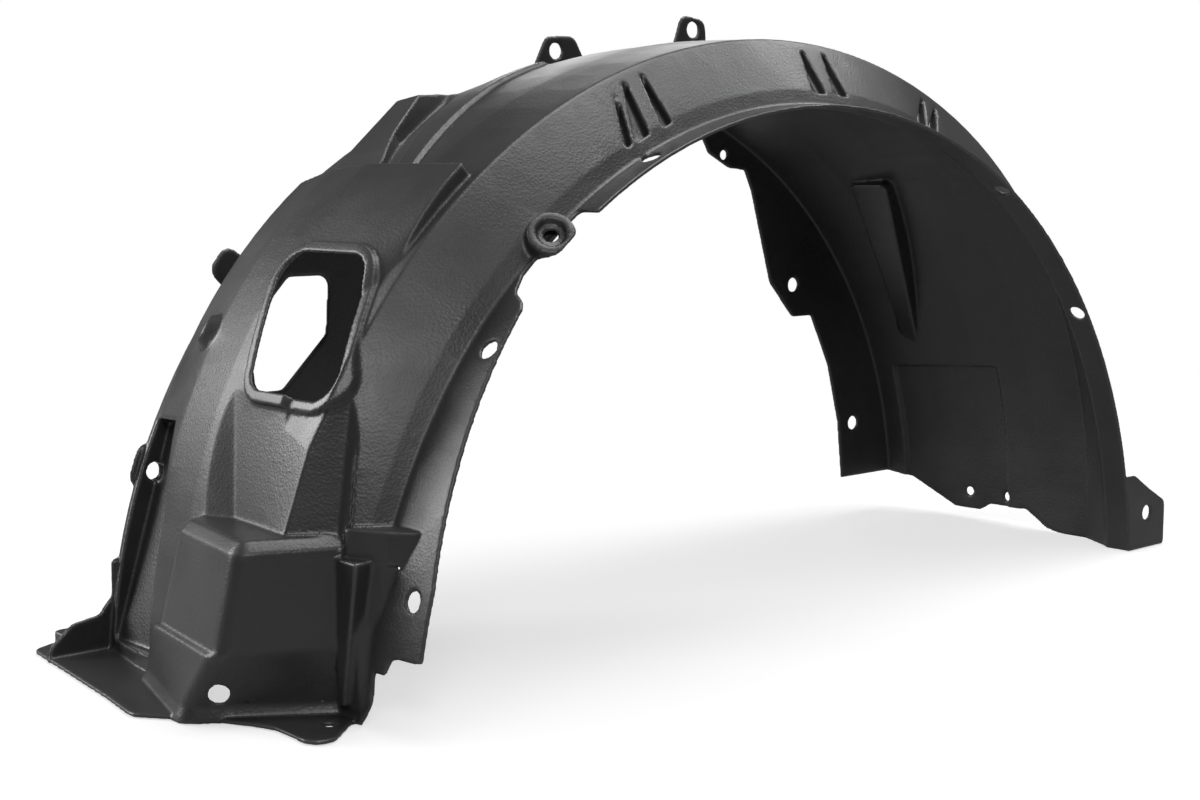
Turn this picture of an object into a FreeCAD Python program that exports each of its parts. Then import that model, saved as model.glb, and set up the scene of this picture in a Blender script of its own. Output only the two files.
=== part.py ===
import FreeCAD, Part
import os
import re
import Sketcher

# Wheel arch liner of a passenger car: one thin moulded shell that lines the inside of a wing.
# It is drawn with the origin on the wheel axle line: X along the car with the front leg at
# minus X, Y from the outboard edge towards the engine bay, Z up, millimetres and degrees.
# Angles go round the arch from the front leg (0) over the top (90) to the rear leg (180).
# The shell is an outer form less an inner form. Every raised or sunk shape is made twice,
# once for each form, a wall thickness apart, so that the shell stays evenly thick.

SIZES = [
    ("wall", 2.5, "thickness of the moulded shell"),
    ("ground", 18.5, "height of the resting plane above the axle line"),
    ("lip_radius", 350, "outer radius of the outboard lip"),
    ("lip_reach", 27, "how far the lip stands outboard at the front leg"),
    ("lip_root", 18, "depth of the lip before the side band starts"),
    ("bead_radius", 360, "radius of the bead between lip and band"),
    ("bead_depth", 24, "depth of that bead"),
    ("ridge_radius", 392, "radius of the ridge between band and roof"),
    ("ridge_depth", 50, "depth of the ridge"),
    ("near_radius", 393.4, "roof radius a quarter of the way in"),
    ("near_depth", 100, "depth at which that radius holds"),
    ("crown_radius", 391, "roof radius half way in"),
    ("crown_depth", 150, "depth at which the crown radius holds"),
    ("far_radius", 384.9, "roof radius three quarters of the way in"),
    ("far_depth", 200, "depth at which that radius holds"),
    ("inner_radius", 375, "roof radius at the inboard edge"),
    ("depth", 250, "depth of the arch at the inboard edge"),
    ("rear_turn", 118, "angle where the rear leg starts to straighten"),
    ("ridge_inset", 42, "how much tighter the ridge turns on the rear leg"),
    ("bead_inset", 10, "the same at the bead"),
    ("near_inset", 40, "the same at the near depth"),
    ("crown_inset", 36, "the same at the crown depth"),
    ("far_inset", 27, "the same at the far depth"),
    ("inner_inset", 18, "the same at the inboard edge"),
    ("slip", 0.6, "share of the wall by which the inside of the band lies further in"),
    ("flange_width", 16, "radial width of the inboard flange"),
    ("panel_reach", 401, "radius that the raised front panel has at its step"),
    ("panel_far_reach", 396.8, "the same at its far depth"),
    ("panel_inner_reach", 386, "the same at its inboard side"),
    ("panel_rim", 171, "radius of curve of the panel at its outboard rim"),
    ("panel_radius", 351, "radius of curve of the panel across its middle"),
    ("panel_far_radius", 346, "the same at its far depth"),
    ("panel_far_depth", 190, "the depth at which those two hold"),
    ("panel_inner_radius", 336, "the same at its inboard side"),
    ("panel_rim_width", 28, "depth over which the rim blends into the panel"),
    ("panel_angle", 51.5, "angle of the step at its upper end"),
    ("panel_start", 57, "depth where the panel begins"),
    ("panel_end", 235, "depth where it ends"),
    ("window_angle", 34.7, "angle of the middle of the window"),
    ("window_height", 88, "window size along the arch"),
    ("window_width", 75, "window size across the arch"),
    ("window_depth", 98.5, "depth of the middle of the window"),
    ("window_lean", 20, "how far its upper end leans inboard"),
    ("window_corner", 15, "corner radius of the window"),
    ("frame_width", 7, "width of the bead round the window"),
    ("frame_height", 3, "height of that bead above the panel"),
    ("pad_radius", 397, "radius of the raised pad on the roof"),
    ("pad_angle", 61, "angle of the middle of that pad"),
    ("pad_corner", 4, "corner radius of the pad"),
    ("corner_reach", 396, "how far back the rear corner tab stands"),
    ("corner_tab_corner", 5, "corner radius of that tab"),
    ("hole", 11, "diameter of the clip holes"),
    ("small_hole", 7, "diameter of the screw holes"),
    ("boss_radius", 14, "radius of the dished clip boss"),
    ("boss_height", 8, "height of that boss above the lip"),
    ("boss_dish_radius", 8.5, "radius of its dish"),
    ("boss_dish_depth", 3, "depth of its dish"),
    ("boss_hole", 8, "diameter of its hole"),
    ("boss_angle", 50.8, "angle at which it stands"),
    ("boss_depth", 15, "its depth"),
    ("boss_lean", 42, "how far it leans outboard"),
    ("tab_corner", 8, "end radius of the fixing tabs"),
    ("box_top", 118, "height of the top of the front box above the axle line"),
    ("box_bevel", 6, "bevel between that top and the sides of the box"),
    ("box_reach", 401, "how far forward the prow of the box stands at its shoulder"),
    ("box_prow", 57, "depth of the prow"),
    ("box_side", 22, "depth at which the outboard face of the box runs out"),
    ("box_back", 142, "depth of its inboard side"),
    ("box_corner", 11, "corner radius of the box"),
    ("side_rib_top", 107, "height of the rib beside the outboard face of the box"),
    ("side_rib_reach", 354, "how far forward that rib stands"),
    ("lip_side", 5, "depth of the ledge and column that join the box to the lip"),
    ("ledge_top", 123, "height of the ledge beside the box"),
    ("ledge_height", 18, "height of the ledge itself"),
    ("skirt_top", 60, "height of the crease above the skirt of the box"),
    ("crease_spread", 9, "how far the prow has spread forward at that crease"),
    ("crease_step", 3, "step of the skirt at the crease"),
    ("skirt_spread", 15, "how far the skirt has spread forward at its foot"),
    ("foot_flare", 4, "how far the foot of the skirt flares out into the flap"),
    ("foot_height", 9, "height of that flare"),
    ("flap_reach", 432, "how far forward the ground flap stands"),
    ("flap_back", 284, "depth of the inboard end of the flap"),
    ("flap_corner", 10, "corner radius of the flap"),
    ("flute", 5, "depth of the flutes in the side band"),
    ("flute_radius", 372, "radius of the band at the middle of the flutes"),
    ("flute_depth", 35, "depth of their middle"),
    ("band_lean", 51, "how far the side band leans outboard"),
    ("clearance", 60, "how far the cutting blocks reach past the surface"),
    ("knob_radius", 9, "radius of the blind knob on the front panel"),
    ("knob_height", 16, "length of that knob from its root"),
    ("knob_root", 381, "radius at which its root lies"),
    ("knob_angle", 33.2, "angle at which it stands"),
    ("knob_depth", 197, "its depth"),
    ("knob_lean", 30, "how far it leans inboard"),
    ("dimple", 3, "depth of its dimple"),
    ("rib_depth", 9, "depth of the long rib on the rear leg"),
    ("rib_radius", 380, "roof radius from which that depth counts"),
    ("rib_angle", 142, "angle of its middle"),
    ("rise", 3, "how far the roof strip and the lower rear panel stand out"),
    ("rear_step", 147, "height of the upper end of the lower rear panel"),
    ("trough_floor", 380, "radius of the floor of the roof channel"),
    ("pleat", 9, "depth of the pleat under the window at its foot"),
    ("groove", 22, "depth of the inboard groove of the front leg"),
    ("groove_radius", 386, "roof radius from which that depth counts"),
    ("groove_angle", 17, "angle of its middle"),
    ("screen_reach", 232, "height of the inboard screen of the front leg"),
]

doc = FreeCAD.newDocument("wheel_arch_liner")
sheet = doc.addObject("Spreadsheet::Sheet", "sizes")
for row, (alias, value, meaning) in enumerate(SIZES, start=1):
    sheet.set(f"A{row}", alias)
    sheet.set(f"B{row}", str(value))
    sheet.set(f"C{row}", meaning)
    sheet.setAlias(f"B{row}", alias)
doc.recompute()

Vector = FreeCAD.Vector
ALIASES = {alias for alias, _, _ in SIZES}


def bound(text):
    """An expression on the sheet's sizes, from one that names them by their bare words."""
    return re.sub(r"[a-z_]+[a-z0-9_]*",
                  lambda word: f"sizes.{word[0]}" if word[0] in ALIASES else word[0], text)


def number(text):
    return float(sheet.evalExpression(bound(text)))


def side_view(depth):
    """Placement of a sketch drawn as the arch is seen from outboard, at a depth."""
    return f"placement(vector(0; {depth}; 0); rotation(vector(1; 0; 0); 90))"


def plan_view(height):
    return f"placement(vector(0; 0; {height}); rotation(vector(0; 0; 1); 0))"


def end_view(forward):
    """Placement of a sketch drawn in depth and height, seen along the car from behind."""
    return (f"placement(vector({forward}; 0; 0); "
            "rotation(vector(1; 1; 1); 120))")


def cross_view(angle):
    """Placement of a sketch that cuts across the arch at an angle: depth, then radius."""
    return (f"placement(vector(0; 0; 0); rotation(vector(0; 1; 0); {angle} - 90) "
            "* rotation(vector(1; 1; 1); 120))")


def radial_view(angle, radius):
    """Placement of a sketch that faces outward at an angle of the arch: its first axis runs
    on round the arch, its second is depth."""
    return (f"placement(vector(0 - cos({angle}) * ({radius}); 0; sin({angle}) * ({radius})); "
            f"rotation(vector(0; 1; 0); {angle} - 90))")


def band_view(angle, radius, depth, lean):
    """The same, leant outboard so that it faces the side band."""
    return (f"placement(vector(0 - cos({angle}) * ({radius}); {depth}; sin({angle}) * ({radius})); "
            f"rotation(vector(0; 1; 0); {angle} - 90) * rotation(vector(1; 0; 0); {lean}))")


def outline(name, corners, place):
    """A closed sketch of straight lines through corners, each given by two expressions. It is
    drawn anticlockwise, so that its normal is the one of its placement."""
    sketch = doc.addObject("Sketcher::SketchObject", name)
    at = [Vector(number(x), number(y), 0) for x, y in corners]
    if sum(a.x * b.y - b.x * a.y for a, b in zip(at, at[1:] + at[:1])) < 0:
        corners, at = corners[::-1], at[::-1]
    texts = [(bound(x), bound(y)) for x, y in corners]
    count = len(at)
    for i in range(count):
        sketch.addGeometry(Part.LineSegment(at[i], at[(i + 1) % count]))
    for i in range(count):
        sketch.addConstraint(Sketcher.Constraint("Coincident", i, 2, (i + 1) % count, 1))
    for i, pair in enumerate(texts):
        for kind, start, text in (("DistanceX", at[i].x, pair[0]), ("DistanceY", at[i].y, pair[1])):
            place_of = sketch.addConstraint(Sketcher.Constraint(kind, -1, 1, i, 1, start))
            sketch.setExpression(f"Constraints[{place_of}]", text)
    sketch.setExpression("Placement", bound(place))
    return sketch


def arch(name, radius, inset, depth):
    """The arch seen from the side at one depth: front and top arc, tighter rear arc, two legs."""
    sketch = doc.addObject("Sketcher::SketchObject", name)
    turn = "180 - rear_turn"
    below = "0 - ground"
    r, k, angle, foot = number(radius), number(inset), number(turn), number(below)
    cos_t, sin_t = number(f"cos({turn})"), number(f"sin({turn})")
    turned = FreeCAD.Units.Quantity(angle, FreeCAD.Units.Angle).getValueAs("rad").Value
    half = 2 * FreeCAD.Units.Quantity(90, FreeCAD.Units.Angle).getValueAs("rad").Value
    up = Vector(0, 0, 1)
    middle = Vector(k * cos_t, k * sin_t, 0)
    right = Vector(middle.x + r - k, middle.y, 0)
    sketch.addGeometry(Part.ArcOfCircle(Part.Circle(Vector(0, 0, 0), up, r), turned, half))
    sketch.addGeometry(Part.ArcOfCircle(Part.Circle(middle, up, r - k), 0, turned))
    sketch.addGeometry(Part.LineSegment(right, Vector(right.x, foot, 0)))
    sketch.addGeometry(Part.LineSegment(Vector(right.x, foot, 0), Vector(-r, foot, 0)))
    sketch.addGeometry(Part.LineSegment(Vector(-r, foot, 0), Vector(-r, 0, 0)))
    add = sketch.addConstraint
    add(Sketcher.Constraint("Coincident", 0, 3, -1, 1))
    add(Sketcher.Constraint("Coincident", 0, 1, 1, 2))
    add(Sketcher.Constraint("Coincident", 1, 1, 2, 1))
    add(Sketcher.Constraint("Coincident", 2, 2, 3, 1))
    add(Sketcher.Constraint("Coincident", 3, 2, 4, 1))
    add(Sketcher.Constraint("Coincident", 4, 2, 0, 2))
    add(Sketcher.Constraint("PointOnObject", 0, 2, -1))
    add(Sketcher.Constraint("Vertical", 2))
    add(Sketcher.Constraint("Horizontal", 3))
    add(Sketcher.Constraint("Vertical", 4))
    size = add(Sketcher.Constraint("Radius", 0, r))
    sketch.setExpression(f"Constraints[{size}]", bound(radius))
    for kind, where, start, text in (
        ("DistanceX", (0, 1), r * cos_t, f"({radius}) * cos({turn})"),
        ("DistanceX", (1, 3), middle.x, f"({inset}) * cos({turn})"),
        ("DistanceY", (1, 3), middle.y, f"({inset}) * sin({turn})"),
        ("DistanceY", (1, 1), middle.y, f"({inset}) * sin({turn})"),
        ("DistanceY", (3, 1), foot, below),
    ):
        size = add(Sketcher.Constraint(kind, -1, 1, where[0], where[1], start))
        sketch.setExpression(f"Constraints[{size}]", bound(text))
    sketch.setExpression("Placement", bound(side_view(depth)))
    return sketch


def loft(name, sections):
    """A body with straight sides from one section to the next."""
    body = doc.addObject("Part::Loft", name)
    body.Sections = sections
    body.Solid = True
    body.Ruled = True
    return body


def rounded(name, source, radius, join="Arc"):
    """An outline grown by a radius, with round corners or with the corners that it has."""
    grown = doc.addObject("Part::Offset2D", name)
    grown.Source = source
    grown.Join = join
    grown.setExpression("Value", bound(radius))
    return grown


def raised(name, source, length, down=False):
    """A block pushed out of an outline along its own normal, or straight down."""
    block = doc.addObject("Part::Extrusion", name)
    block.Base = source
    block.DirMode = "Custom" if down else "Normal"
    if down:
        block.Dir = Vector(0, 0, -1)
    block.Solid = True
    block.setExpression("LengthFwd", bound(length))
    return block


def disc(name, radius, height, place):
    drum = doc.addObject("Part::Cylinder", name)
    drum.setExpression("Radius", bound(radius))
    drum.setExpression("Height", bound(height))
    drum.setExpression("Placement", bound(place))
    return drum


def joined(name, shapes):
    union = doc.addObject("Part::MultiFuse", name)
    union.Shapes = shapes
    return union


def less(name, base, tool):
    rest = doc.addObject("Part::Cut", name)
    rest.Base = base
    rest.Tool = tool
    return rest


def shared(name, shapes):
    both = doc.addObject("Part::MultiCommon", name)
    both.Shapes = shapes
    return both


def panel_drum(name, lift, inset):
    """The curved body whose surface is the raised front panel, lifted by a height. Its
    outboard rim curves more tightly, so that the step of the panel fades towards the foot."""
    rings = []
    for i, (reach, radius, depth) in enumerate((
        ("panel_reach", "panel_rim", f"panel_start + ({inset})"),
        ("panel_reach", "panel_radius", "panel_start + panel_rim_width"),
        ("panel_reach", "panel_radius", "crown_depth"),
        ("panel_far_reach", "panel_far_radius", "panel_far_depth"),
        ("panel_inner_reach", "panel_inner_radius", f"panel_end - ({inset})"),
    )):
        ring = doc.addObject("Part::Circle", f"{name}_ring{i}")
        ring.setExpression("Radius", bound(f"{radius} + {lift}"))
        ring.setExpression("Placement", bound(
            f"placement(vector(0 - cos(panel_angle) * ({reach} - {radius}); {depth}; "
            f"sin(panel_angle) * ({reach} - {radius})); rotation(vector(1; 0; 0); 90))"))
        rings.append(ring)
    return loft(name, rings)


def form(side, skin):
    """Outer or inner form of the shell. skin is how far it lies inside the outer surface."""
    def n(name):
        return f"{name}_{side}"

    back = f"slip * ({skin})"
    stations = [
        ("lip_radius", "0 * wall", f"0 - lip_reach - 4 * ({skin})"),
        ("lip_radius", "0 * wall", "lip_root"),
        ("bead_radius", "bead_inset", "bead_depth"),
        ("ridge_radius", "ridge_inset", "ridge_depth"),
    ]
    rings = [arch(n(f"ring{i}"), f"{radius} - ({skin})", inset,
                  depth if i == 0 else f"{depth} + {back}")
             for i, (radius, inset, depth) in enumerate(stations)]
    band = loft(n("band"), rings)

    def crowned(name, lift, start):
        """The roof behind the ridge, lifted by a height."""
        bows = [start]
        for i, (radius, inset, depth) in enumerate((
            ("near_radius", "near_inset", "near_depth"),
            ("crown_radius", "crown_inset", "crown_depth"),
            ("far_radius", "far_inset", "far_depth"),
            ("inner_radius", "inner_inset", f"depth - ({skin})"),
        )):
            bows.append(arch(n(f"{name}_bow{i}"), f"{radius} + {lift} - ({skin})", inset, depth))
        return loft(n(name), bows)

    roof = crowned("roof", "0 * wall", rings[-1])

    # Raised front panel: a drum about a centre that is shifted forward and up, so that it
    # stands out at the step near the top and dies away towards the foot and the ridge.
    drum = panel_drum(n("panel_drum"), f"0 - ({skin})", skin)
    far = "1.3 * ridge_radius"
    wedge = outline(n("panel_wedge"), [
        (f"0 - sin(panel_angle) * ({skin})", f"0 - cos(panel_angle) * ({skin})"),
        (f"0 - cos(panel_angle) * {far} - sin(panel_angle) * ({skin})",
         f"sin(panel_angle) * {far} - cos(panel_angle) * ({skin})"),
        (f"0 - {far}", f"sin(panel_angle) * {far} - cos(panel_angle) * ({skin})"),
        (f"0 - {far}", "0 - ground"),
        ("0 * wall", "0 - ground"),
    ], side_view(f"panel_end - ({skin})"))
    wedge_block = raised(n("panel_block"), wedge, f"panel_end - panel_start - 2 * ({skin})")
    panel = shared(n("panel"), [drum, wedge_block])

    # A second surface a little above the roof: the strip beside the roof channel and the lower
    # rear panel are the parts of it that an outline lets through.
    rise_foot = arch(n("rise_foot"), f"bead_radius + rise * 1.4 - ({skin})", "bead_inset",
                     f"bead_depth - 1 + {back}")
    rise_edge = arch(n("rise_edge"), f"ridge_radius + rise - ({skin})", "ridge_inset",
                     f"ridge_depth - 1 + {back}")
    rise_band = loft(n("rise_band"), [rise_foot, rise_edge])
    risen = crowned("rise_roof", "rise", rise_edge)
    strip = outline(n("strip_outline"), [
        ("-66", "116"), ("-33", "128"), ("10", "143"), ("53", "157"), ("96", "166"),
        ("96", "172"), ("50", "168"), ("5", "160"), ("-30", "145"), ("-66", "126"),
    ], radial_view("pad_angle", "360"))
    strip_block = raised(n("strip_block"), rounded(n("strip_round"), strip, f"3 - ({skin})"), "50")
    rear = outline(n("rear_outline"), [
        ("133", "0"), ("226", "0"), ("226", "rear_step - 6"), ("133", "rear_step"),
    ], end_view("300"))
    rear_block = raised(n("rear_block"), rounded(n("rear_round"), rear, f"6 - ({skin})"), "120")
    low_panels = shared(n("low_panels"), [risen, joined(n("panel_blocks"), [strip_block, rear_block])])

    # Bead round the window: a ring of the panel and roof lifted by the height of the bead.
    lifted = panel_drum(n("bead_drum"), f"frame_height - ({skin})", "0 * wall")
    frame_outline = window_outline(n("frame"), "340")
    frame_block = raised(n("frame_block"), rounded(
        n("frame_round"), frame_outline, f"window_corner + frame_width - ({skin})"), "90")
    frame_bead = shared(n("frame_bead"), [joined(n("bead_body"), [lifted, risen, rise_band]),
                                          frame_block])

    # Raised pad with two slopes on the inboard side of the roof.
    pad_ends = []
    for i, (depth, lift) in enumerate((("150", "7"), ("246", "0 - 6"))):
        pad_ends.append(outline(n(f"pad_end{i}"), [
            (f"0 - cos({angle}) * ({radius} + {lift} - ({skin}))",
             f"sin({angle}) * ({radius} + {lift} - ({skin}))")
            for angle, radius in (("71.5", "377"), ("70", "384"), ("pad_angle + 3", "pad_radius"),
                                  ("56", "386"), ("49", "379"), ("49", "340"), ("71.5", "340"))
        ], side_view(depth)))
    ridge_roof = loft(n("pad_roof"), pad_ends)
    pad = outline(n("pad_outline"), [
        ("-72", "158"), ("-60", "162"), ("-16", "190"), ("41", "208"), ("66", "222"),
        ("-40", "222"), ("-58", "204"),
    ], radial_view("pad_angle", "340"))
    pad_outline = raised(n("pad_block"), rounded(n("pad_round"), pad, f"pad_corner - ({skin}) * 0.9"),
                         "90")
    pad_block = shared(n("pad"), [ridge_roof, pad_outline])

    # Front box: a prow with draft, its light front face turned a little inboard and its
    # outboard face running back into the side band. Below a crease the front spreads as a
    # skirt, whose foot flares out into the flap.
    box_sections = []
    for i, (prow_x, prow_y, back_x, back_y, height, grow) in enumerate((
        ("0", "0", "0 - 12", "0", "box_top", "0 - box_bevel"),
        ("0", "0", "0 - 12", "0", "box_top - box_bevel", "0"),
        ("crease_spread", "4", "0 - 3", "8", "skirt_top", "0"),
        ("crease_spread + crease_step", "6", "0", "8 + crease_step", "skirt_top - 2", "0"),
        ("skirt_spread", "28", "0 - 6", "32", "ground + foot_height", "0"),
        ("skirt_spread", "30", "0 - 7", "36", "ground - 1", "foot_flare"),
    )):
        section = outline(n(f"box_section{i}"), [
            ("0 - lip_radius + 30", "box_side + box_corner"),
            (f"0 - box_reach - ({prow_x}) + box_corner", f"box_prow + {prow_y} + box_corner / 2"),
            (f"0 - box_reach - ({back_x}) + box_corner", f"box_back + {back_y} - box_corner"),
            ("0 - lip_radius + 30", f"box_back + {back_y} - box_corner"),
        ], plan_view(f"{height} - ({skin})" if i < 4 else height))
        box_sections.append(rounded(n(f"box_round{i}"), section, f"box_corner + {grow} - ({skin})"))
    box_block = loft(n("box"), box_sections)

    # Rib that stands beside the outboard face of the box and tapers to its foot.
    rib_sections = []
    for i, (near, far, height) in enumerate((
        ("16", "34", f"side_rib_top - ({skin})"), ("29", "36", "ground + foot_height"),
    )):
        rib_sections.append(outline(n(f"side_rib_section{i}"), [
            ("0 - lip_radius + 30", f"{near} + {skin}"), (f"{skin} - side_rib_reach", f"{near} + {skin}"),
            (f"{skin} - side_rib_reach", f"{far} - {skin}"), ("0 - lip_radius + 30", f"{far} - {skin}"),
        ], plan_view(height)))
    side_rib = loft(n("side_rib"), rib_sections)

    # Side block that joins the box to the lip, with a small ledge on top.
    ledge = outline(n("ledge_outline"), [
        ("0 - 310", "lip_side - 8"), ("0 - 327", "lip_side - 8"), ("0 - 337", "lip_side + 5"),
        ("0 - 347", "lip_side + 26"), ("0 - 310", "lip_side + 26"),
    ], plan_view(f"ledge_top - ({skin})"))
    ledge_block = raised(n("ledge"), rounded(n("ledge_round"), ledge, f"3 - ({skin})"),
                         "ledge_height", down=True)
    column = outline(n("column_outline"), [
        ("0 - 310", "lip_side - 2"), ("0 - 328", "lip_side - 2"), ("0 - 338", "lip_side + 8"),
        ("0 - 346", "lip_side + 26"), ("0 - 310", "lip_side + 26"),
    ], plan_view(f"ledge_top - ledge_height + 2 - ({skin})"))
    column_block = raised(n("column"), rounded(n("column_round"), column, f"3 - ({skin})"),
                          "ledge_top", down=True)

    # Two pleats under the window, each from nothing at its upper end to its full depth behind
    # the box: a steep face towards the lip, then a flat one that comes out again. Lower down
    # the leg is cleared away in front of the outboard face of the box.
    pleats = []
    for name, sections in (
        ("pleat", (
            ("30", ((f"148 + {skin}", "401"), ("143", "400"), (f"46 - {skin}", "398"))),
            ("12", ((f"133 + {skin}", "395"), ("104", "391 - pleat"), (f"58 - {skin}", "393"))),
        )),
        ("side_pleat", (
            ("31", ((f"50 + {skin}", "397"), ("46", "389"), (f"42 - {skin}", "386"))),
            ("12", ((f"61 + {skin}", "397"), ("36", "364"), (f"24 - {skin}", "361"))),
        )),
    ):
        ends = []
        for i, (angle, corners) in enumerate(sections):
            floor = [(depth, f"{radius} - ({skin})") for depth, radius in corners]
            cover = [(depth, "1.1 * ridge_radius") for depth in (corners[2][0], corners[0][0])]
            ends.append(outline(n(f"{name}_end{i}"), floor + cover, cross_view(angle)))
        pleats.append(loft(n(name), ends))
    clearing = outline(n("clearing_outline"), [
        ("-430", f"100 + {skin}"), (f"{skin} - 350", f"45 + {skin}"), (f"{skin} - 350", "-40"),
        ("-430", "-40"),
    ], plan_view(f"side_rib_top + {skin}"))
    pleats.append(raised(n("clearing"), clearing, "side_rib_top * 2", down=True))
    plain = joined(n("plain"), [band, roof, panel, low_panels, pad_block])
    pleated = less(n("pleated"), plain, joined(n("pleats"), pleats))

    # Blind knob on the inboard side of the front panel, with a dimple.
    knob_place = band_view("knob_angle", "knob_root", "knob_depth", "0 - knob_lean")
    knob = doc.addObject("Part::Cone", n("knob"))
    knob.setExpression("Radius1", bound(f"knob_radius * 2 - ({skin})"))
    knob.setExpression("Radius2", bound(f"knob_radius - ({skin})"))
    knob.setExpression("Height", bound(f"knob_height - ({skin})"))
    knob.setExpression("Placement", bound(knob_place))

    solid = joined(n("raised"), [pleated, frame_bead, box_block, side_rib, ledge_block,
                                 column_block, knob])

    # Sunk shapes are cut from both forms, larger by the wall on the inner one.
    sunk = f"(knob_height - dimple - ({skin}))"
    cuts = [disc(n("dimple"), f"knob_radius / 3 + ({skin})", "knob_height", band_view(
        "knob_angle", f"knob_root + cos(knob_lean) * {sunk}",
        f"knob_depth + sin(knob_lean) * {sunk}", "0 - knob_lean"))]
    groove = outline(n("groove_outline"), [
        ("-80", "184"), ("-80", "240"), ("50", "240"), ("50", "206"), ("0", "190"),
    ], radial_view("groove_angle", f"groove_radius - groove - ({skin})"))
    cuts.append(raised(n("groove"), rounded(n("groove_round"), groove, f"3 + ({skin})"), "clearance"))
    trough = outline(n("trough_outline"), [
        ("-56", "150"), ("-20", "170"), ("30", "190"), ("78", "222"), ("78", "232"),
        ("41", "205"), ("-16", "185"), ("-56", "158"),
    ], radial_view("pad_angle", f"trough_floor - ({skin})"))
    cuts.append(raised(n("trough"), rounded(n("trough_round"), trough, f"1 + ({skin})"), "clearance"))
    rib = outline(n("rib_outline"), [
        ("-84", "160"), ("-84", "186"), ("84", "212"), ("84", "207"),
    ], radial_view("rib_angle", f"rib_radius - rib_depth - ({skin})"))
    cuts.append(raised(n("rib"), rounded(n("rib_round"), rib, f"2 + ({skin})"), "clearance"))
    for i, (angle, lean, half) in enumerate((
        ("66.2", "11", "1.5"), ("67.8", "9", "5"), ("70.6", "5", "3"), ("92.2", "3", "5"),
        ("95.4", "2", "5"), ("110.1", "10", "4"), ("112.3", "11", "3.5"),
    )):
        flute = outline(n(f"flute{i}_outline"), [
            (f"{lean} - 1", "18"), (f"{lean} + 1", "18"),
            (f"{half} - {lean} + 1", "-18"), (f"0 - {lean} - {half} - 1", "-18"),
        ], band_view(angle, "flute_radius", "flute_depth", "band_lean"))
        grown = flute if side == "outer" else rounded(n(f"flute{i}_wide"), flute, skin,
                                                      "Intersection")
        valley = raised(n(f"flute{i}"), grown, "clearance / 2")
        valley.setExpression("LengthRev", bound(f"flute + ({skin})"))
        cuts.append(valley)
    return less(n("form"), solid, joined(n("sunk"), cuts))


def window_outline(name, radius):
    """The window in the front panel: taller than wide, its upper end leaning inboard."""
    half_h = "(window_height / 2 - window_corner)"
    half_w = "(window_width / 2 - window_corner)"
    return outline(name, [
        (f"0 - {half_h}", f"window_depth - window_lean / 2 - {half_w}"),
        (f"0 - {half_h}", f"window_depth - window_lean / 2 + {half_w}"),
        (f"{half_h}", f"window_depth + window_lean / 2 + {half_w}"),
        (f"{half_h}", f"window_depth + window_lean / 2 - {half_w}"),
    ], radial_view("window_angle", radius))


def slab(name, corners, radius, place, thick):
    """A flat plate with round corners, pushed out of its outline along its normal."""
    inset = outline(f"{name}_outline", corners, place)
    return raised(name, rounded(f"{name}_round", inset, radius), thick)


def tab(name, angle, depth, root, reach, half):
    """Fixing tab that stands out radially: a plate across the arch, round at its end."""
    place = (f"placement(vector(0; {depth}; 0); rotation(vector(0; 1; 0); {angle} - 90) "
             "* rotation(vector(1; 0; 0); 90))")
    return slab(name, [
        (f"0 - {half} + tab_corner", f"{root}"), (f"{half} - tab_corner", f"{root}"),
        (f"{half} * 0.25", f"{reach} - tab_corner"), (f"0 - {half} * 0.25", f"{reach} - tab_corner"),
    ], "tab_corner", place, "wall")


outer = form("outer", "0 * wall")
inner = form("inner", "wall")
shell = less("shell", outer, inner)

# Inboard opening. A narrow flange stays over the top, a wide one on the rear leg and a
# screen with a cut-out on the front leg.
opening = arch("opening_outline", "inner_radius - flange_width", "inner_inset", "depth + 4")
opening_block = raised("opening", opening, "wall + 8")
rear_keep = slab("rear_keep", [
    ("128", "350"), ("142", "326"), ("162", "316"), ("182", "314"), ("192", "294"),
    ("214", "222"), ("238", "196"), ("262", "196"), ("286", "150"), ("300", "100"),
    ("306", "50"), ("306", "0"), ("430", "0"), ("430", "345"),
], "6", side_view("depth + 6"), "wall + 12")
screen_keep = slab("screen_keep", [
    ("-420", "10"), ("-330", "10"), ("-310", "62"), ("-190", "110"), ("-156", "150"),
    ("-156", "screen_reach"), ("-230", "330"), ("-420", "330"),
], "8", side_view("depth + 6"), "wall + 12")
screen_window = slab("screen_window", [
    ("-262", "176"), ("-252", "176"), ("-222", "206"), ("-220", "234"), ("-240", "234"),
    ("-266", "205"),
], "7", side_view("depth + 6"), "wall + 12")
hollow = less("hollow", opening_block, joined("keep", [rear_keep, screen_keep]))

# The lip is trimmed to its edge: it stands out furthest on the front leg, then runs back.
lip_trim = slab("lip_trim", [
    ("-60", "96"), ("0 - lip_reach - 3", "96"), ("-8", "230"), ("-3", "264"), ("-3", "470"),
    ("-60", "470"),
], "3", end_view("-450"), "900")
rear_trim = slab("rear_trim", [("-60", "-10"), ("0 * wall", "-10"), ("0 * wall", "470"),
                               ("-60", "470")], "0.01", end_view("0 * wall"), "450")
lip_notch = slab("lip_notch", [
    ("-52", "-40"), ("-48", "-12"), ("-36", "-3"), ("-29", "8"), ("-18", "12"), ("32", "12"),
    ("32", "-40"),
], "3", radial_view("49.5", "300"), "120")
heel_trim = slab("heel_trim", [
    ("-60", "-30"), ("16", "-30"), ("16", "16"), ("5", "34"), ("-5", "53"), ("-60", "57"),
], "5", end_view("-450"), "200")
ankle_edge = slab("ankle_edge", [
    ("-335", "56"), ("-345", "44"), ("-357", "32"), ("-371", "14"), ("-371", "0"), ("-300", "0"),
    ("-300", "56"),
], "3", side_view("12"), "60")
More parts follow.
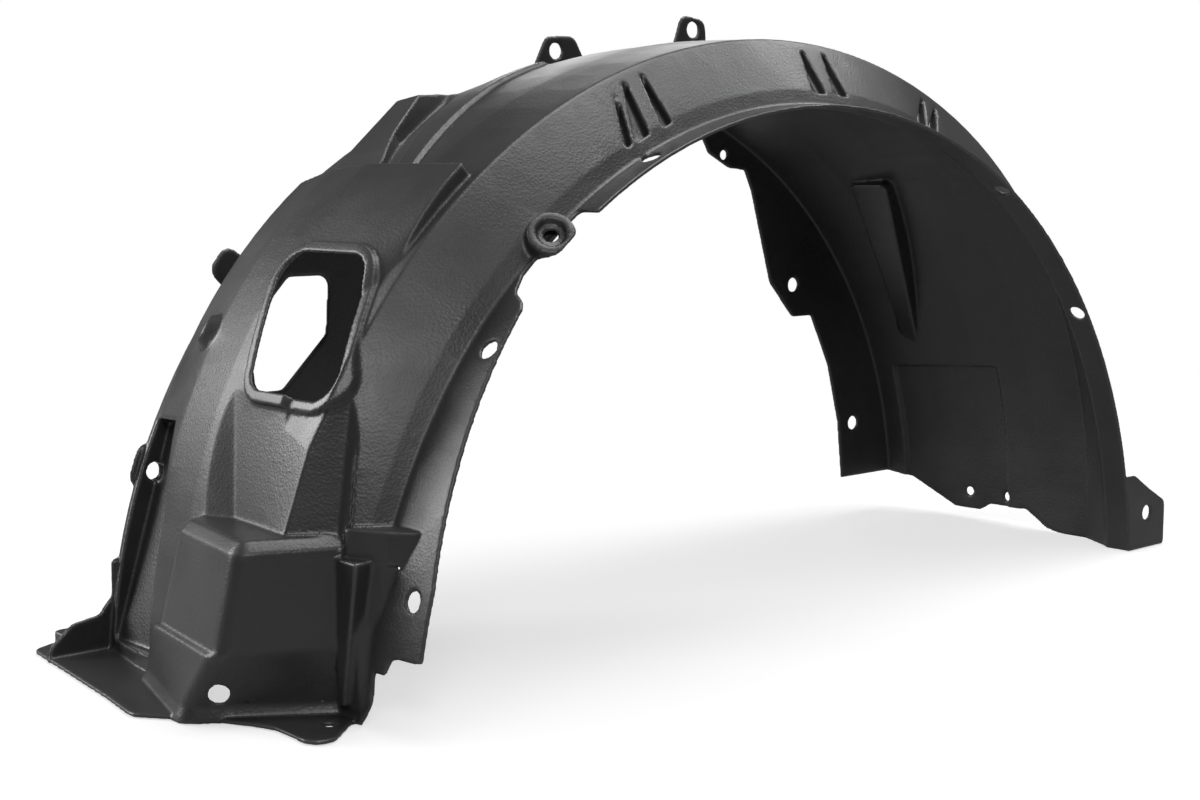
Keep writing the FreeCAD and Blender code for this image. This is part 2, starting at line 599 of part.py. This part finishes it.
ankle_trim = slab("ankle_trim", [
    ("72", "-60"), ("74", "14"), ("92", "18"), ("112", "30"), ("148", "29"), ("158", "23"),
    ("184", "23"), ("202", "31"), ("228", "44"), ("270", "50"), ("270", "-60"),
], "3", end_view("200"), "250")
sole = raised("sole", outline("sole_outline", [
    ("-700", "-200"), ("700", "-200"), ("700", "500"), ("-700", "500"),
], plan_view("ground")), "200", down=True)

# Ground flap in front of the box, with its raised clip pad.
flap = slab("flap", [
    ("-402", "flap_back - flap_corner - 4"), ("-394", "flap_back - flap_corner"),
    ("-370", "252"), ("-330", "240"), ("-330", "50"), ("-361", "30"), ("-379", "15"),
    ("-378", "44"), ("-384", "60"), ("-399", "88"), ("0 - flap_reach + flap_corner", "118"),
    ("-416", "155"), ("-409", "212"),
], "flap_corner", plan_view("ground"), "wall")
clip_pad = slab("clip_pad", [("-392", "262"), ("-374", "262"), ("-374", "276"), ("-392", "276")],
                "5", plan_view("ground"), "11")
clip_pad_hollow = slab("clip_pad_hollow", [
    ("-392", "262"), ("-374", "262"), ("-374", "276"), ("-392", "276"),
], "5 - wall", plan_view("ground - 1"), "12 - wall")
flap_plate = less("flap_plate", joined("flap_raw", [flap, clip_pad]),
                  joined("flap_hollow", [inner, clip_pad_hollow]))

# Wing plate that closes the inboard side of the front foot down to the flap.
wing = slab("wing", [
    ("-366", "18"), ("-366", "72"), ("-369", "72"), ("-369", "52"), ("-380", "39"),
    ("-398", "36"), ("-410", "26"), ("-412", "18"),
], "4", side_view("depth"), "wall")

tabs = [
    tab("wing_tab", "20.5", "depth", "350", "380", "24"),
    tab("side_lug", "41", "depth", "365", "390", "13"),
    tab("roof_tab_front", "88.2", "depth", "365", "404", "34"),
    tab("roof_tab_rear", "98", "185 + wall", "374", "421", "22"),
    slab("rear_corner", [
        ("335", "20"), ("corner_reach - corner_tab_corner", "20"),
        ("corner_reach - corner_tab_corner", "50"), ("372", "60"), ("352", "72"), ("335", "72"),
    ], "corner_tab_corner", side_view("wall"), "wall"),
]

# Dished clip boss on the lip, leaning outboard, with its root down to the shell.
def boss_disc(name, radius, start, height):
    """A drum about the boss axis, from a height above its base."""
    return disc(name, radius, height, (
        "placement(vector(0 - cos(boss_angle) * lip_radius; boss_depth; sin(boss_angle) * lip_radius); "
        "rotation(vector(0; 1; 0); boss_angle - 90) * rotation(vector(1; 0; 0); boss_lean)) "
        f"* placement(vector(0; 0; {start}); rotation(vector(0; 0; 1); 0))"))


boss_outer = boss_disc("boss_outer", "boss_radius", "0 - boss_radius", "boss_radius + boss_height")
boss_hollow = boss_disc("boss_hollow", "boss_radius - wall", "0 - boss_radius - 1",
                        "boss_radius + 1 + boss_height - wall")
boss_dish = boss_disc("boss_dish", "boss_dish_radius", "boss_height - boss_dish_depth", "boss_height")
dish_floor = boss_disc("dish_floor", "boss_dish_radius + wall * 0.6",
                       "boss_height - boss_dish_depth - wall", "wall + 1")
boss_cup = joined("boss_cup", [less("boss_ring", boss_outer, boss_hollow), dish_floor])
boss = less("boss", boss_cup, joined("boss_cuts", [
    boss_dish, inner, boss_disc("boss_hole", "boss_hole / 2", "0 - wall", "boss_height * 4")]))

trimmed = less("trimmed", shell, joined("trims", [
    hollow, screen_window, lip_trim, lip_notch, rear_trim, heel_trim, ankle_edge, ankle_trim,
]))
window_hole = raised("window_hole", rounded("window_round", window_outline("window", "320"),
                                            "window_corner"), "120")

# Clip and screw holes.
holes = [window_hole, sole]
for i, (angle, depth) in enumerate(((14.8, -12), (37.9, 2), (65, 12), (122, 8), (144, 9))):
    holes.append(disc(f"lip_hole{i}", "hole / 2", "30", (
        f"placement(vector(0 - cos({angle}) * 335; {depth}; sin({angle}) * 335); "
        f"rotation(vector(0; 1; 0); {angle} - 90))")))
for i, (x, z) in enumerate(((-344, 127), (-17, 393), (236, 216), (313, 96))):
    holes.append(disc(f"inboard_hole{i}", "hole / 2", "20", (
        f"placement(vector({x}; depth + 10; {z}); rotation(vector(1; 0; 0); 90))")))
holes.append(disc("roof_tab_hole", "hole / 2", "20", (
    "placement(vector(58; 195; 408); rotation(vector(1; 0; 0); 90))")))
holes.append(disc("corner_hole", "hole / 2", "20", (
    "placement(vector(371; 10; 46); rotation(vector(1; 0; 0); 90))")))
for i, (x, y) in enumerate(((-406, 259), (-383, 269), (-364.5, 27.5))):
    holes.append(disc(f"flap_hole{i}", "small_hole / 2", "30", (
        f"placement(vector({x}; {y}; ground - 5); rotation(vector(0; 0; 1); 0))")))
holes.append(disc("flange_hole", "small_hole / 2", "20", (
    "placement(vector(154.4; depth + 10; 320.3); rotation(vector(1; 0; 0); 90))")))
for i, (y, z) in enumerate(((169, 41), (131, 41))):
    holes.append(disc(f"ankle_hole{i}", "small_hole / 2", "60", (
        f"placement(vector(330; {y}; {z}); rotation(vector(0; 1; 0); 90))")))
holes.append(disc("gusset_hole", "hole / 2", "50", (
    "placement(vector(-382; 108; 35); rotation(vector(0; 0; 1); 59) * rotation(vector(0; 1; 0); 270))")))

# The finished part stands on the ground, in the middle of its length and width.
tab_set = less("tab_set", joined("tab_plates", tabs), inner)
liner = less("wheel_arch_liner", joined("plates", [trimmed, flap_plate, wing, boss, tab_set]),
             joined("openings", holes))
liner.Label = "wheel_arch_liner"
liner.setExpression("Placement", bound(
    "placement(vector((flap_reach - corner_reach) / 2; (lip_reach - flap_back) / 2; 0 - ground); "
    "rotation(vector(0; 0; 1); 0))"))
doc.recompute()

for item in doc.Objects:
    if "Invalid" in item.State or "Error" in item.State:
        raise RuntimeError(f"{item.Name} could not be built")
if liner.Shape.isNull() or not liner.Shape.isValid() or len(liner.Shape.Solids) != 1:
    raise RuntimeError("the liner is not one sound solid")
os.makedirs("parts", exist_ok=True)
liner.Shape.exportStep(f"parts/{liner.Label}.step")
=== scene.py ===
import math
import bpy
from mathutils import Euler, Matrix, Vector


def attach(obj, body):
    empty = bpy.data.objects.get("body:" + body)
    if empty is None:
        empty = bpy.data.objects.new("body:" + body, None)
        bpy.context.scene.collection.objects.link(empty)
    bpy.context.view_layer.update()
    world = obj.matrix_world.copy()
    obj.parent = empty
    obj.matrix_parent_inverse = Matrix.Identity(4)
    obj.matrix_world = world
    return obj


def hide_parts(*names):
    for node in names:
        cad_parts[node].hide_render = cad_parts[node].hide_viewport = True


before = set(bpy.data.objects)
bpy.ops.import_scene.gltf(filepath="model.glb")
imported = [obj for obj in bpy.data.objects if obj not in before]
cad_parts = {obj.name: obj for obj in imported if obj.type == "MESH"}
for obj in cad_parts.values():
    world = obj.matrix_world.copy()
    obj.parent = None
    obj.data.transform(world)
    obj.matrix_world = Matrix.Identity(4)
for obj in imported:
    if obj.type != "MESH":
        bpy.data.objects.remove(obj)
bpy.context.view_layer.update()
scene = bpy.context.scene


# The liner is one thin sheet of black polypropylene, drawn or moulded over a tool, so every
# edge of it is soft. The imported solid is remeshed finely, laid back on the solid's own faces
# and relaxed until its edges are as round as a tool of that kind leaves them.
VOXEL = 0.0012
FIRST_PASSES = 3
ROUNDING_PASSES = 7
RELAX_SHARE = 0.5
MOST_TRIANGLES = 190000


def placed(name, data):
    """A new object of that name in the scene, with that mesh, lamp or camera in it."""
    obj = bpy.data.objects.new(name, data)
    scene.collection.objects.link(obj)
    return obj


def relax(obj, passes):
    """A modifier that draws every point towards its neighbours, a number of times."""
    modifier = obj.modifiers.new("relax", "SMOOTH")
    modifier.factor = RELAX_SHARE
    modifier.iterations = passes


def work_in_modifiers(obj):
    """The object's mesh becomes what its modifiers make of it, and none is left on it."""
    evaluated = obj.evaluated_get(bpy.context.evaluated_depsgraph_get())
    mesh = bpy.data.meshes.new_from_object(evaluated)
    obj.modifiers.clear()
    obj.data = mesh


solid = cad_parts["wheel_arch_liner"]
shell = placed("moulded_liner", solid.data.copy())
remesh = shell.modifiers.new("sheet", "REMESH")
remesh.mode = "VOXEL"
remesh.voxel_size = VOXEL
relax(shell, FIRST_PASSES)
lay = shell.modifiers.new("lay", "SHRINKWRAP")
lay.target = solid
lay.wrap_method = "NEAREST_SURFACEPOINT"
relax(shell, ROUNDING_PASSES)
work_in_modifiers(shell)

# The remeshed sheet is all four-sided faces, each of them two triangles.
triangles = 2 * len(shell.data.polygons)
thin = shell.modifiers.new("thin", "DECIMATE")
thin.ratio = min(1, MOST_TRIANGLES / triangles)
work_in_modifiers(shell)
shell.data.polygons.foreach_set("use_smooth", [True] * len(shell.data.polygons))


class Amount:
    """A number or colour that varies over a surface. Its sums and products are nodes."""

    def __init__(self, shader, socket):
        self.shader = shader
        self.socket = socket

    def maths(self, operation, other):
        return self.shader.node("ShaderNodeMath", {"operation": operation}, {0: self, 1: other})

    def __add__(self, other):
        return self.maths("ADD", other)

    def __mul__(self, other):
        return self.maths("MULTIPLY", other)

    __radd__ = __add__
    __rmul__ = __mul__


class Shader:
    """The nodes of a material or of the world."""

    def __init__(self, owner):
        owner.use_nodes = True
        self.owner = owner
        self.tree = owner.node_tree
        self.tree.nodes.clear()

    def node(self, kind, settings=None, inputs=None, output=0):
        """A node of a kind: its settings are set first, then its sockets get values or links."""
        made = self.tree.nodes.new(kind)
        for name, value in (settings or {}).items():
            setattr(made, name, value)
        for name, value in (inputs or {}).items():
            if isinstance(value, Amount):
                self.tree.links.new(value.socket, made.inputs[name])
            else:
                made.inputs[name].default_value = value
        return Amount(self, made.outputs[output]) if made.outputs else None


# Black polypropylene with a fine leather grain from the tool: small pebbles, finer fibres and
# slow waves. Its sheen varies in patches, and its tone varies a little in patches at random. Its
# sharp edges are painted a little greyer, a painted highlight along them.
BLACK = (0.013, 0.013, 0.014, 1)
# The grey that sharp edges are painted towards as a painted highlight, and that random patches
# lean to.
EDGE_HIGHLIGHT_AND_MOTTLE_GREY = (0.1, 0.101, 0.103, 1)
GRAIN_DEPTH = 0.0005
SMOOTHEST = 0.22

plastic = Shader(bpy.data.materials.new("grained_black_plastic"))
place = plastic.node("ShaderNodeTexCoord", output="Object")
pebbles = plastic.node("ShaderNodeTexVoronoi", {"feature": "SMOOTH_F1"},
                       {"Vector": place, "Scale": 620, "Smoothness": 0.6})
fibres = plastic.node("ShaderNodeTexNoise", None, {"Vector": place, "Scale": 900, "Detail": 3})
waves = plastic.node("ShaderNodeTexNoise", None, {"Vector": place, "Scale": 110, "Detail": 3})
patches = plastic.node("ShaderNodeTexNoise", None, {"Vector": place, "Scale": 16, "Detail": 5})
sharpness = plastic.node("ShaderNodeNewGeometry", output="Pointiness")
# Painted highlight: a mask that is 1 on sharp edges, where the base colour is painted lighter to
# stand in for sheen.
painted_edge_highlight = plastic.node("ShaderNodeMapRange", None, {
    "Value": sharpness, "From Min": 0.51, "From Max": 0.58, "To Min": 0.0, "To Max": 1.0})
grain = plastic.node("ShaderNodeBump", None, {
    "Strength": 0.3, "Distance": GRAIN_DEPTH,
    "Height": 0.6 * pebbles + 0.4 * fibres + 0.5 * waves})
# Base colour: black, painted lighter grey along sharp edges as a painted highlight, and a little
# lighter at random in patches.
colour = plastic.node("ShaderNodeMix", {"data_type": "RGBA"}, {
    0: 0.4 * painted_edge_highlight + 0.15 * patches, 6: BLACK, 7: EDGE_HIGHLIGHT_AND_MOTTLE_GREY}, output=2)
surface = plastic.node("ShaderNodeBsdfPrincipled", None, {
    "Base Color": colour, "Roughness": 0.36 * patches + SMOOTHEST, "Normal": grain,
    "Specular IOR Level": 0.5})
plastic.node("ShaderNodeOutputMaterial", None, {"Surface": surface})

shell.data.materials.clear()
shell.data.materials.append(plastic.owner)
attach(shell, "root")
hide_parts("wheel_arch_liner")


# The floor is a large sheet of white paper that the liner stands on. It keeps the shadow, is
# partly clear already under the liner and runs out into the white background all round.
FLOOR_REACH = 6.0
FLOOR_DROP = 0.0005
CORNERS = ((-1, -1), (1, -1), (1, 1), (-1, 1))
CLEAR_UNDER_LINER = 0.62
PAPER_WHITE = (0.88, 0.88, 0.88, 1)

floor_mesh = bpy.data.meshes.new("paper_floor")
floor_mesh.from_pydata(
    [(x * FLOOR_REACH, y * FLOOR_REACH, -FLOOR_DROP) for x, y in CORNERS], [], [(0, 1, 2, 3)])
floor = placed("paper_floor", floor_mesh)
paper = Shader(bpy.data.materials.new("white_paper"))
ground = paper.node("ShaderNodeTexCoord", output="Object")
away = paper.node("ShaderNodeVectorMath", {"operation": "LENGTH"}, {0: ground}, "Value")
fade = paper.node("ShaderNodeMapRange", {"interpolation_type": "SMOOTHSTEP"}, {
    "Value": away, "From Min": 0.7, "From Max": 1.7, "To Min": CLEAR_UNDER_LINER, "To Max": 1.0})
matt = paper.node("ShaderNodeBsdfDiffuse", None, {"Color": PAPER_WHITE})
clear = paper.node("ShaderNodeBsdfTransparent")
sheet = paper.node("ShaderNodeMixShader", None, {0: fade, 1: matt, 2: clear})
paper.node("ShaderNodeOutputMaterial", None, {"Surface": sheet})
floor_mesh.materials.append(paper.owner)


# The background is white where it is seen, directly or through the clear part of the floor,
# and lights the liner only as a dim room does.
WHITE = (1, 1, 1, 1)
ROOM_LIGHT = 0.15

studio = Shader(bpy.data.worlds.new("studio"))
scene.world = studio.owner
direct = studio.node("ShaderNodeLightPath", output="Is Camera Ray")
through = studio.node("ShaderNodeLightPath", output="Is Transmission Ray")
seen = studio.node("ShaderNodeMath", {"operation": "MAXIMUM"}, {0: direct, 1: through})
room = studio.node("ShaderNodeBackground", None, {"Color": WHITE, "Strength": ROOM_LIGHT})
backdrop = studio.node("ShaderNodeBackground", None, {"Color": WHITE, "Strength": 1.0})
choice = studio.node("ShaderNodeMixShader", None, {0: seen, 1: room, 2: backdrop})
studio.node("ShaderNodeOutputWorld", None, {"Surface": choice})


# Six soft boxes, all turned to the middle of the liner. The large one overhead makes the
# shadow, and the others give the sheen on the legs, the side band and the roof.
MIDDLE = Vector((0.0, 0.0, 0.2))

for name, spot, size, power in (
    ("overhead", (0.2, -0.3, 2.2), 1.4, 40),
    ("back_left", (-1.5, 1.9, 1.15), 1.0, 40),
    ("right", (1.7, -0.1, 2.0), 0.7, 14),
    ("front_high", (-1.6, -1.9, 1.6), 0.6, 24),
    ("back_right", (1.5, 1.8, 1.2), 0.8, 6),
    ("low_left", (-1.8, 1.3, 0.5), 0.5, 5),
):
    lamp = bpy.data.lights.new(name, "AREA")
    lamp.size = size
    lamp.energy = power
    soft_box = placed(name, lamp)
    soft_box.location = spot
    soft_box.rotation_euler = (MIDDLE - Vector(spot)).to_track_quat("-Z", "Y").to_euler()


# The camera stands where the photograph was taken from. Its place and turn were worked out
# from the liner's circular lip and flat foot.
PHOTO_WIDTH = 1200
FOCAL_PIXELS = 1874.63
SENSOR = 36.0
LEVEL = 90.0
TILT_DOWN = 7.1355
TURN = -41.9578
FARTHEST_SEEN = 50

view = bpy.data.cameras.new("photo_camera")
view.sensor_width = SENSOR
view.lens = FOCAL_PIXELS * SENSOR / PHOTO_WIDTH
view.clip_end = FARTHEST_SEEN
camera = placed("photo_camera", view)
camera.location = (-0.87984, -0.90715, 0.29382)
camera.rotation_euler = Euler((math.radians(LEVEL - TILT_DOWN), 0, math.radians(TURN)))
scene.camera = camera
scene.view_settings.view_transform = "Standard"
